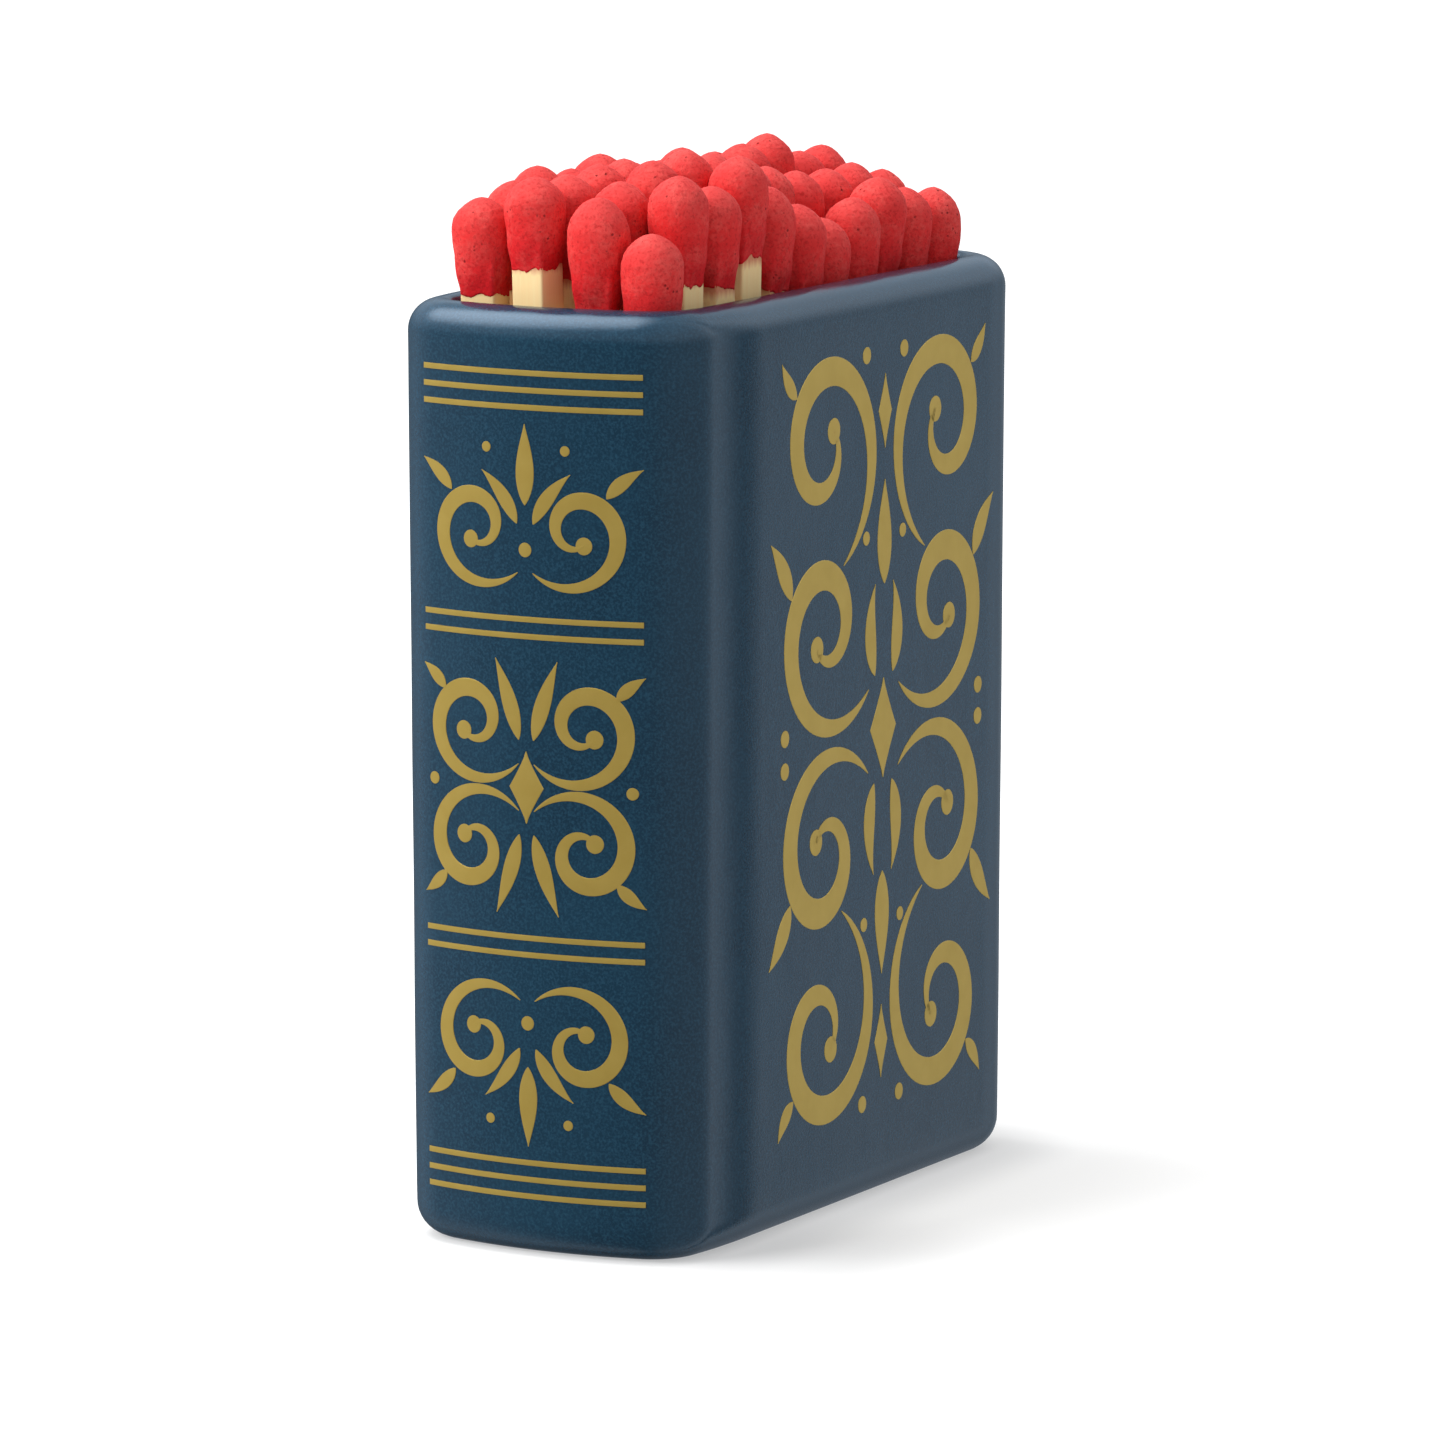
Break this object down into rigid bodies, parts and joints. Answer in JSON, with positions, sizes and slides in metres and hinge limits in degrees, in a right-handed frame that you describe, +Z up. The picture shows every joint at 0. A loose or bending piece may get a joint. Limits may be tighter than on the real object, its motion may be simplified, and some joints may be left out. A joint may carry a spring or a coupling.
{
  "type": "match striker",
  "caption": "Book-shaped glazed ceramic match holder with an open top, standing wooden matches, gilt ornament and an abrasive striking strip on the fore-edge.",
  "frame": {"origin": "middle of the vessel's box, on the table plane under its foot ring", "axes": "+Z up, from the foot to the open mouth; -Y towards the rounded spine and +Y towards the fore-edge with the striking strip; +X towards the ornamented cover"},
  "size_m": [0.0347, 0.0753, 0.1056],
  "materials": {
    "glaze": "satin",
    "gilding": "matte",
    "striker": "rough",
    "match": "matte"
  },
  "bodies": {
    "root": {"book_body": "glaze", "striker_strip": "striker", "spine_gilding": "gilding", "cover_gilding": "gilding", "match_01": "match", "match_02": "match", "match_03": "match", "match_04": "match", "match_05": "match", "match_06": "match", "match_07": "match", "match_08": "match", "match_09": "match", "match_10": "match", "match_11": "match", "match_12": "match", "match_13": "match", "match_14": "match", "match_15": "match", "match_16": "match", "match_17": "match", "match_18": "match", "match_19": "match", "match_20": "match", "match_21": "match", "match_22": "match", "match_23": "match", "match_24": "match", "match_25": "match", "match_26": "match", "match_27": "match", "match_28": "match", "match_29": "match", "match_30": "match", "match_31": "match", "match_32": "match", "match_33": "match", "match_34": "match", "match_35": "match", "match_36": "match", "match_37": "match", "match_38": "match", "match_39": "match", "match_40": "match", "match_41": "match", "match_42": "match", "match_43": "match", "match_44": "match"}
  },
  "joints": []
}
